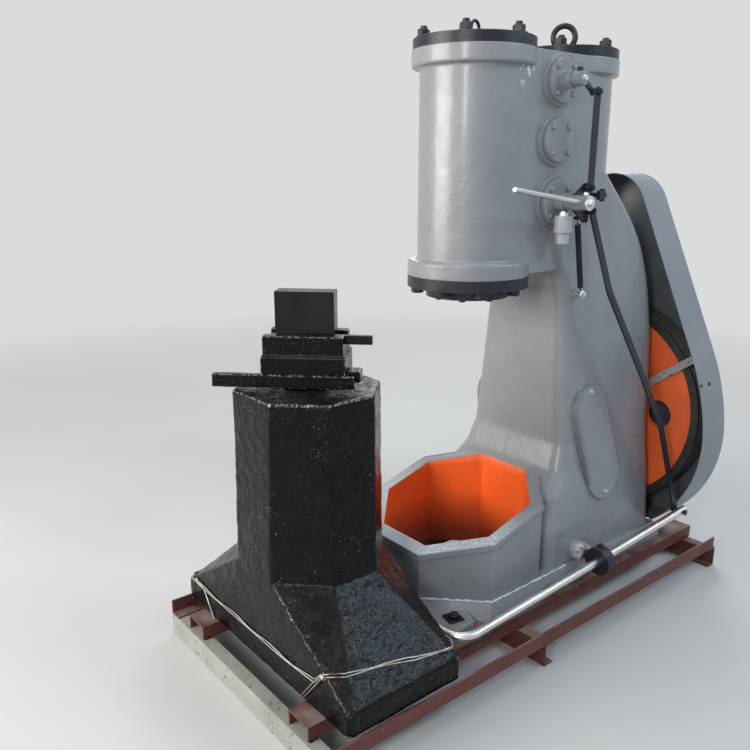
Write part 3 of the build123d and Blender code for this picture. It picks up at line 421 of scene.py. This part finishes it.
class Piece:
    """A mesh built from turned and swept bits, in the row frame."""

    def __init__(self):
        self.mesh = bmesh.new()

    def turn(self, at, axis, profile, sides=24, spin=0.0):
        """Rings of (radius, height) along the axis, closed at both ends."""
        place = Matrix.Translation(at) @ turned_to(axis, spin)
        rings = []
        for radius, height in profile:
            ring = []
            for k in range(sides):
                turn = 2 * math.pi * k / sides
                corner = Vector((radius * math.cos(turn), radius * math.sin(turn), height))
                ring.append(self.mesh.verts.new(place @ corner))
            rings.append(ring)
        for low, high in zip(rings, rings[1:]):
            for k in range(sides):
                self.mesh.faces.new((low[k], low[(k + 1) % sides], high[(k + 1) % sides], high[k]))
        self.mesh.faces.new(list(reversed(rings[0])))
        self.mesh.faces.new(rings[-1])
        return self

    def sweep(self, path, radius, sides=10, closed=False, rough=0.0):
        """Round bar along a list of points, its radius uneven by the rough share."""
        points = [Vector(p) for p in path]
        count = len(points)
        rings = []
        side = None
        for k, point in enumerate(points):
            before = points[(k - 1) % count] if closed or k else point
            after = points[(k + 1) % count] if closed or k < count - 1 else point
            way = (after - before).normalized()
            if side is None:
                side = way.orthogonal().normalized()
            side = (side - way * side.dot(way)).normalized()
            other = way.cross(side)
            here = radius * (1 + random.uniform(-rough, rough)) if rough else radius
            ring = []
            for n in range(sides):
                turn = 2 * math.pi * n / sides
                offset = side * math.cos(turn) + other * math.sin(turn)
                ring.append(self.mesh.verts.new(point + offset * here))
            rings.append(ring)
        pairs = list(zip(rings, rings[1:]))
        if closed:
            pairs.append((rings[-1], rings[0]))
        for low, high in pairs:
            for n in range(sides):
                self.mesh.faces.new((low[n], low[(n + 1) % sides], high[(n + 1) % sides], high[n]))
        if not closed:
            self.mesh.faces.new(list(reversed(rings[0])))
            self.mesh.faces.new(rings[-1])
        return self

    def hexagon(self, at, axis, across, height, spin=0.0):
        """Nut or bolt head with its corners chamfered."""
        corner = across / math.sqrt(3)
        rim = height * 0.86
        return self.turn(at, axis, [(corner, 0), (corner, rim), (corner * 0.88, height)], 6, spin)

    def bolt(self, at, axis, size, spin=0.0, washer=True, stud=0.0, head=0.65):
        """Hexagon head or nut of the given thread size on a washer, with a stud's end above it."""
        at, axis = Vector(at), Vector(axis).normalized()
        foot = 0.0
        if washer:
            foot = size * 0.18
            self.turn(at, axis, [(size * 1.05, 0), (size * 1.05, foot * 0.8), (size * 1.0, foot)], 20)
        self.hexagon(at + axis * foot, axis, size * 1.55, size * head, spin)
        if stud:
            top = foot + size * head
            self.turn(
                at + axis * (top - size * 0.1),
                axis,
                [(size / 2, 0), (size / 2, stud), (size * 0.4, stud + size * 0.1)],
                14,
            )
        return self

    def make(self, name, look, body=None, sharp=32.0):
        bmesh.ops.recalc_face_normals(self.mesh, faces=self.mesh.faces)
        data = bpy.data.meshes.new(name)
        self.mesh.to_mesh(data)
        self.mesh.free()
        piece = bpy.data.objects.new(name, data)
        bpy.context.scene.collection.objects.link(piece)
        data.materials.append(looks[look])
        data.shade_smooth()
        data.set_sharp_from_angle(angle=math.radians(sharp))
        if body:
            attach(piece, body)
        return piece


def middle(node):
    low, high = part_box(node)
    return (low + high) / 2


def ring(centre, radius, count, first, height):
    """Places on a level circle, from a first angle in degrees."""
    for k in range(count):
        turn = math.radians(first + 360 * k / count)
        yield Vector((centre[0] + radius * math.cos(turn), centre[1] + radius * math.sin(turn), height))


def between(points, step):
    """Points along straight runs, about one step apart."""
    path = [Vector(points[0])]
    for start, end in zip(points, points[1:]):
        start, end = Vector(start), Vector(end)
        count = max(1, round((end - start).length / step))
        path += [start.lerp(end, k / count) for k in range(1, count + 1)]
    return path


UP, DOWN, OUT = Vector((0, 0, 1)), Vector((0, 0, -1)), Vector((0, -1, 0))


# Cylinder covers and gland

def cylinder_nuts(name, node):
    low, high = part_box(node)
    piece = Piece()
    for at in ring(middle(node), (high.x - low.x) / 2 - 0.027, 6, 35, high.z):
        piece.bolt(at, UP, 0.0225, random.uniform(0, 1), stud=random.uniform(0.006, 0.015), head=0.88)
    piece.make(name, "black_paint", "machine")


cylinder_nuts("front_cover_nuts", "front_cylinder_cover")
cylinder_nuts("rear_cover_nuts", "rear_cylinder_cover")

piece = Piece()
for at in ring(middle("ram_gland"), GLAND_BOLTS, 8, 15, GLAND_FACE):
    piece.bolt(at, DOWN, 0.024, random.uniform(0, 1), washer=False, head=0.9)
for at in ring(middle("ram_gland"), 0.120, 8, 37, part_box("ram_gland")[0].z + 0.012):
    piece.bolt(at, DOWN, 0.012, random.uniform(0, 1), washer=False, head=0.6)
piece.make("gland_bolts", "black_paint", "machine")


# Valve covers, cranks and links

def cover_screws(name, place, radius):
    piece = Piece()
    for k in range(4):
        turn = math.radians(45 + 90 * k)
        at = (place[0] + radius * math.cos(turn), VALVE_FACE, place[1] + radius * math.sin(turn))
        piece.bolt(at, OUT, 0.0098, random.uniform(0, 1), head=0.68)
    piece.make(name, "enamel", "machine")


cover_screws("upper_valve_screws", UPPER_VALVE, 0.058)
cover_screws("middle_valve_screws", MIDDLE_VALVE, 0.057)
cover_screws("lower_valve_screws", LOWER_VALVE, 0.062)

for name, place, body in (
    ("upper_spindle_washer", UPPER_VALVE, "upper_crank"),
    ("lower_spindle_washer", LOWER_VALVE, "valve_lever"),
):
    piece = Piece()
    washer = [(0.021, 0), (0.022, 0.0005), (0.022, 0.0035), (0.021, 0.004)]
    piece.turn((place[0], HUB_FACE - 0.0005, place[1]), OUT, washer)
    piece.make(name, "zinc_steel", body)

piece = Piece()
crank_end = (UPPER_VALVE[0], CRANK_FACE, UPPER_VALVE[1])
piece.turn(crank_end, OUT, [(0.021, 0), (0.021, 0.002), (0.020, 0.003)], 28)
piece.make("upper_crank_end", "enamel", "upper_crank")
piece = Piece()
piece.bolt((UPPER_VALVE[0], CRANK_FACE - 0.003, UPPER_VALVE[1]), OUT, 0.0098, 0.4)
piece.make("upper_crank_bolt", "zinc_steel", "upper_crank")
piece = Piece()
piece.bolt((UPPER_VALVE[0], -0.257, UPPER_VALVE[1] + 0.0235), UP, 0.0105, 0.2, head=0.9)
piece.make("upper_crank_clamp", "black_paint", "upper_crank")

piece = Piece()
lever_end = (LOWER_VALVE[0], LEVER_FACE, LOWER_VALVE[1])
piece.turn(lever_end, OUT, [(0.0235, 0), (0.0245, 0.001), (0.0245, 0.003), (0.0235, 0.004)], 32)
piece.bolt(Vector(lever_end) + OUT * 0.004, OUT, 0.012, 0.3, head=0.7)
piece.bolt((LOWER_VALVE[0] + 0.010, -0.300, LOWER_VALVE[1] + 0.0215), (0.35, 0, 1), 0.0115, 0.5, head=0.8)
piece.make("lever_fixings", "zinc_steel", "valve_lever")

for name, pins, body in (
    ("upper_pin_nut", (UPPER_PIN,), "upper_crank"),
    ("lever_pin_nuts", (UPPER_LINK_PIN, LONG_LINK_PIN), "valve_lever"),
):
    piece = Piece()
    for x, z in pins:
        washer = [(0.0125, 0), (0.013, 0.0005), (0.013, 0.0020), (0.0125, 0.0024)]
        piece.turn((x, LINK_FACE - 0.0004, z), OUT, washer)
        piece.hexagon((x, LINK_FACE - 0.0028, z), OUT, 0.0185, 0.007, random.uniform(0, 1))
        piece.turn((x, LINK_FACE - 0.0098, z), OUT, [(0.0052, 0), (0.0052, 0.0022), (0.0042, 0.0032)], 14)
    piece.make(name, "black_paint", body)

piece = Piece()
low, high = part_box("link_bolt")
foot_x, foot_z = (low.x + high.x) / 2, (low.z + high.z) / 2
piece.turn((foot_x, LINK_FOOT + 0.0004, foot_z), -OUT, [(0.0125, 0), (0.0125, 0.0022)], 20)
piece.hexagon((foot_x, LINK_FOOT + 0.0026, foot_z), -OUT, 0.0205, 0.008, 0.3)
piece.make("link_bolt_nut", "black_paint", "treadle")


# Return spring: a close coil with a hook at each end

def return_spring():
    wire, mean, pitch, steps = 0.0016, 0.0090, 0.0035, 14
    low, high = Vector(SPRING_LOW), Vector(SPRING_HIGH)
    way = high - low
    axis = way.normalized()
    side = axis.orthogonal().normalized()
    other = axis.cross(side)
    start, end = 0.026, way.length - 0.024
    count = int((end - start) / pitch) * steps
    coil = []
    for k in range(count + 1):
        turn = 2 * math.pi * k / steps
        along = low + axis * (start + (end - start) * k / count)
        coil.append(along + (side * math.cos(turn) + other * math.sin(turn)) * mean)
    piece = Piece()
    piece.sweep(coil, wire, 6)
    for centre, stud, towards, tip in ((low, 0.008, axis, coil[0]), (high, 0.006, -axis, coil[-1])):
        reach = stud + wire + 0.0004
        across = towards.cross(OUT).normalized()
        along = OUT.cross(across).normalized()
        along = along if along.dot(towards) > 0 else -along
        hook = [centre + (across * math.sin(math.radians(t)) + along * math.cos(math.radians(t))) * reach
                for t in range(-300, 1, 20)]
        hook.append(centre + towards * (reach + 0.008))
        hook.append(tip)
        piece.sweep(hook, wire, 8)
    spring = piece.make("coil_spring", "black_paint", sharp=60)
    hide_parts("return_spring")
    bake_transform(spring)


return_spring()

piece = Piece()
anchor = Vector((SPRING_LOW[0], -0.2225, SPRING_LOW[2]))
piece.turn(anchor, OUT, [(0.0150, 0), (0.0155, 0.0005), (0.0155, 0.0022), (0.0150, 0.0027)])
piece.hexagon(anchor + OUT * 0.0027, OUT, 0.019, 0.009, 0.2)
piece.turn(anchor + OUT * 0.0117, OUT, [(0.0055, 0), (0.0055, 0.002), (0.0045, 0.003)], 14)
piece.make("spring_anchor_nut", "zinc_steel", "machine")

piece = Piece()
low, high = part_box("drain_fitting")
drain = (low + high) / 2
piece.bolt((high.x - 0.001, drain.y, high.z - 0.030), (1, 0, 0), 0.0075, 0.2, washer=False, head=0.7)
piece.turn((drain.x, drain.y, high.z), UP, [(0.013, 0), (0.013, 0.002), (0.011, 0.004)], 6)
piece.make("drain_fixings", "zinc_steel", "machine")


# Inspection covers, guard and treadle

def cover_point(side, along, up):
    """Place on an inspection cover, from its middle, and the way it faces."""
    rise = math.hypot(1, COVER_LEAN)
    at = Vector(COVER_CENTRE) + Vector((along, COVER_LEAN * up / rise, up / rise))
    face = Vector((0, -1, COVER_LEAN)).normalized()
    at += face * COVER_PLATE
    at.y *= -side
    face.y *= -side
    return at, face


for name, side in (("right_cover_screws", -1), ("left_cover_screws", 1)):
    piece = Piece()
    for along, up in ((-0.030, 0.199), (0.030, -0.199)):
        at, face = cover_point(side, along, up)
        piece.bolt(at, face, 0.0098, random.uniform(0, 1), head=0.6)
    piece.make(name, "zinc_steel", "machine")

GUARD_SCREWS = ((0.882, -0.4481, 0.8065), (0.941, -0.4488, 0.8043))
for name, side in (("right_guard_screws", 1), ("left_guard_screws", -1)):
    piece = Piece()
    for x, y, z in GUARD_SCREWS:
        piece.turn((x, y * side, z), OUT * side, [(0.0068, -0.001), (0.0066, 0.002), (0.0046, 0.0042)], 16)
    piece.make(name, "worn_iron", "machine")

for name, side in (("right_strap_bolt", 1), ("left_strap_bolt", -1)):
    piece = Piece()
    inward = Vector((0, side * math.cos(math.radians(24)), -math.sin(math.radians(24))))
    at = Vector((0.938, -side * 0.3935, 0.917))
    piece.bolt(at, inward, 0.010, 0.2)
    piece.make(name, "worn_iron", "machine")

for name, node in (
    ("right_collar_screw", "treadle_right_pivot"),
    ("left_collar_screw", "treadle_left_pivot"),
):
    at = middle(node)
    at = Vector((at.x, -0.405 if at.y < 0 else 0.405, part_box(node)[1].z - 0.0035))
    piece = Piece()
    piece.bolt(at, UP, 0.0125, 0.35, washer=False, head=1.1)
    piece.make(name, "black_paint", "treadle")

for name, side in (("right_lug_bolt", -1), ("left_lug_bolt", 1)):
    piece = Piece()
    at = Vector((-0.235, side * 0.263, LUG_TOP))
    piece.turn(at, UP, [(0.039, 0), (0.039, 0.0052), (0.038, 0.006)], 4, math.radians(59 * side))
    piece.bolt(at + UP * 0.006, UP, 0.020, 0.2, washer=False, stud=0.005, head=0.55)
    piece.make(name, "worn_iron", "machine")


# Filler where the pocket meets the foot, and welds on the skid

bead = []
corners = [(0.300, 0.304), (-0.0945, 0.3055), (-0.2725, 0.128)]
corners += [(x, -y) for x, y in reversed(corners)]
for point in between([(x, y, FOOT_TOP - 0.001) for x, y in corners], 0.009):
    bead.append(point + Vector([random.uniform(-0.0014, 0.0014) for axis in range(3)]))
piece = Piece()
piece.sweep(bead, 0.0040, 7, rough=0.45)
piece.make("foot_filler", "filler", "machine", 60)

piece = Piece()
for node in ("skid_front_beam", "skid_middle_beam", "skid_rear_beam"):
    low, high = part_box(node)
    for rail in ("skid_left_rail", "skid_right_rail"):
        near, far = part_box(rail)
        start, end = max(low.x, near.x), min(high.x, far.x)
        for y in (near.y - 0.001, far.y + 0.001):
            run = between([(start + 0.004, y, high.z + 0.001), (end - 0.004, y, high.z + 0.001)], 0.0045)
            piece.sweep(run, 0.0036, 7, rough=0.35)
piece.make("skid_welds", "worn_iron", "machine", 60)


# Thick coat on the anvil and what stands on it

def coated(node, voxel, waves, body="machine"):
    """The node on a fine grid, moved in and out by noise of the given depths and scales."""
    piece = bpy.data.objects.new(f"{node}_coat", nodes[node].data.copy())
    bpy.context.scene.collection.objects.link(piece)
    grid = piece.modifiers.new("grid", "REMESH")
    grid.mode = "VOXEL"
    grid.voxel_size = voxel
    bpy.context.view_layer.update()
    data = bpy.data.meshes.new_from_object(piece.evaluated_get(bpy.context.evaluated_depsgraph_get()))
    piece.modifiers.clear()
    piece.data = data
    count = len(data.vertices)
    places = np.zeros(count * 3, np.float32)
    normals = np.zeros(count * 3, np.float32)
    data.vertices.foreach_get("co", places)
    data.vertices.foreach_get("normal", normals)
    places, normals = places.reshape(-1, 3), normals.reshape(-1, 3)
    for depth, scale in waves:
        shift = [noise.noise(Vector(place) * scale) for place in places.tolist()]
        places += normals * (np.array(shift, np.float32) * depth)[:, None]
    data.vertices.foreach_set("co", places.reshape(-1))
    data.update()
    data.materials.clear()
    data.materials.append(looks["bitumen"])
    data.shade_smooth()
    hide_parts(node)
    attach(piece, body)


coated("anvil", 0.0062, ((0.0022, 9), (0.0016, 28), (0.0012, 75)))
for node in ("anvil_cap", "cap_key", "cap_wedge"):
    coated(node, 0.0032, ((0.0006, 20), (0.0004, 60), (0.0003, 150)))


# Binding wire round the anvil's base, twisted at the lever side's front corner

def flare(z, far=WIRE_STANDOFF):
    """Half depth of the anvil's sloping foot at a height, out to the middle of the wire."""
    return FLARE_HALF - (z - FLARE_LOW) * FLARE_RUN / FLARE_RISE + far


def binding_wire():
    knot = Vector((-0.8315, -0.3560, 0.262))
    front, rear = -0.8315, -0.4035
    loop = [
        knot,
        (front, -0.315, 0.222),
        (front, -0.150, 0.211),
        (front, 0.070, 0.212),
        (front, 0.300, 0.212),
        (front, flare(0.214) - 0.030, 0.214),
        (-0.812, flare(0.216), 0.216),
        (-0.620, flare(0.228), 0.228),
        (-0.425, flare(0.232), 0.232),
        (rear, flare(0.230) - 0.030, 0.230),
        (rear, 0.0, 0.222),
        (rear, 0.030 - flare(0.224), 0.224),
        (-0.424, -flare(0.227), 0.227),
        (-0.563, -flare(0.240), 0.240),
        (-0.660, -flare(0.257), 0.257),
        (-0.730, -flare(0.264), 0.264),
        (-0.790, -flare(0.270), 0.270),
    ]
    path = between([*loop, knot], 0.02)
    for name, lift, wobble in (("binding_wire", 0.0, 0.0), ("binding_wire_strand", 0.007, 0.004)):
        strand = []
        for k, point in enumerate(path[:-1]):
            strand.append(point + UP * (lift + wobble * math.sin(k * 0.55)))
        piece = Piece()
        piece.sweep(strand, WIRE_RADIUS, 8, closed=True)
        piece.make(name, "wire", "machine", 60)
    ties = (
        (knot, (-0.838, -0.330, 0.225), (-0.836, -0.285, 0.170), (-0.832, -0.250, 0.132)),
        (knot + UP * 0.006, (-0.840, -0.322, 0.230), (-0.838, -0.275, 0.172), (-0.834, -0.240, 0.131)),
        (knot, (-0.815, -0.372, 0.240), (-0.800, -0.392, 0.215)),
        ((front - 0.001, 0.345, 0.214), (-0.834, 0.310, 0.175), (-0.833, 0.280, 0.131)),
        ((front - 0.001, 0.400, 0.232), (-0.8335, 0.385, 0.222), (front - 0.001, 0.345, 0.214)),
    )
    piece = Piece()
    for tie in ties:
        piece.sweep(between(tie, 0.01), WIRE_RADIUS, 8)
    for k in range(4):
        turn = [
            knot + Vector((0.0055 * math.cos(t), 0.004 * (k - 1.5), 0.0055 * math.sin(t)))
            for t in [2 * math.pi * n / 12 for n in range(12)]
        ]
        piece.sweep(turn, 0.0021, 6, closed=True)
    piece.make("binding_ties", "wire", "machine", 60)


binding_wire()


# Camera, floor and light

bpy.context.scene.view_settings.view_transform = "Standard"
camera_data = bpy.data.cameras.new("camera")
camera_data.lens = 37.06
camera_data.sensor_width = 36.0
camera_data.dof.use_dof = False
camera = bpy.data.objects.new("camera", camera_data)
bpy.context.scene.collection.objects.link(camera)
turn, pitch = math.radians(50.9), math.atan(204 / 772)
look = Vector((math.cos(turn) * math.cos(pitch), math.sin(turn) * math.cos(pitch), -math.sin(pitch)))
camera.location = (-1.874, -1.866, 1.6)
camera.rotation_euler = look.to_track_quat("-Z", "Y").to_euler()
bpy.context.scene.camera = camera

PALE = (0.70, 0.71, 0.72)


def seen(tree):
    """1 for rays from the camera and for mirror and glass rays."""
    path = tree.nodes.new("ShaderNodeLightPath")
    total = path.outputs["Is Camera Ray"]
    for name in ("Is Glossy Ray", "Is Transmission Ray"):
        node = tree.nodes.new("ShaderNodeMath")
        node.operation = "MAXIMUM"
        tree.links.new(total, node.inputs[0])
        tree.links.new(path.outputs[name], node.inputs[1])
        total = node.outputs[0]
    return total


def pale_floor():
    """Pale floor that fades into the pale background a few metres out."""
    s = Shader("floor")
    s.done(
        Base_Color=s.mix(s.step(s.noise(0.8, 8.0), 0.3, 0.7), (0.54, 0.54, 0.53), (0.49, 0.49, 0.48)),
        Roughness=0.62,
        Normal=s.bump(s.noise(30.0, 5.0), 0.0006),
    )
    away = s.math("SQRT", s.math("ADD", s.math("MULTIPLY", s.x, s.x), s.math("MULTIPLY", s.y, s.y)))
    share = s.math("MULTIPLY", s.step(away, 1.8, 6.5), seen(s.tree))
    glow = s.add("ShaderNodeEmission", Color=(*PALE, 1.0), Strength=1.0)
    blend = s.add("ShaderNodeMixShader", Fac=share)
    s.tree.links.new(s.surface.outputs[0], blend.inputs[1])
    s.tree.links.new(glow.outputs[0], blend.inputs[2])
    s.tree.links.new(blend.outputs[0], s.tree.nodes["Material Output"].inputs["Surface"])
    return s.material


bpy.ops.mesh.primitive_plane_add(size=60, location=(0, 0, 0))
floor = bpy.context.object
floor.name = "floor"
floor.data.materials.append(pale_floor())

world = bpy.data.worlds.new("studio")
world.use_nodes = True
sky = world.node_tree
light = sky.nodes["Background"]
light.inputs["Color"].default_value = (0.80, 0.84, 0.90, 1)
light.inputs["Strength"].default_value = 0.50
pale = sky.nodes.new("ShaderNodeBackground")
pale.inputs["Color"].default_value = (*PALE, 1)
blend = sky.nodes.new("ShaderNodeMixShader")
sky.links.new(seen(sky), blend.inputs[0])
sky.links.new(light.outputs[0], blend.inputs[1])
sky.links.new(pale.outputs[0], blend.inputs[2])
sky.links.new(blend.outputs[0], sky.nodes["World Output"].inputs["Surface"])
bpy.context.scene.world = world


def softbox(name, at, aim, width, height, power, colour=(1, 1, 1)):
    data = bpy.data.lights.new(name, "AREA")
    data.shape = "RECTANGLE"
    data.size, data.size_y = width, height
    data.energy = power
    data.color = colour
    box = bpy.data.objects.new(name, data)
    bpy.context.scene.collection.objects.link(box)
    box.location = at
    box.rotation_euler = (Vector(aim) - Vector(at)).to_track_quat("-Z", "Y").to_euler()


softbox("key", (-4.8, 1.7, 2.1), (0, 0, 1.0), 3.2, 2.2, 270, (1.0, 0.965, 0.90))
softbox("window", (-4.0, -2.2, 2.6), (0, -0.2, 0.8), 0.6, 1.4, 70, (0.96, 0.98, 1.0))
softbox("fill", (2.0, -3.0, 3.6), (-0.2, -0.2, 0.5), 1.7, 0.9, 66, (0.66, 0.84, 1.0))
softbox("rim", (3.4, 2.8, 3.6), (0.2, 0, 1.1), 2.4, 2.4, 90, (0.95, 0.98, 1.0))
softbox("top", (0, 0, 5.2), (0, 0, 0), 4.0, 3.0, 60)
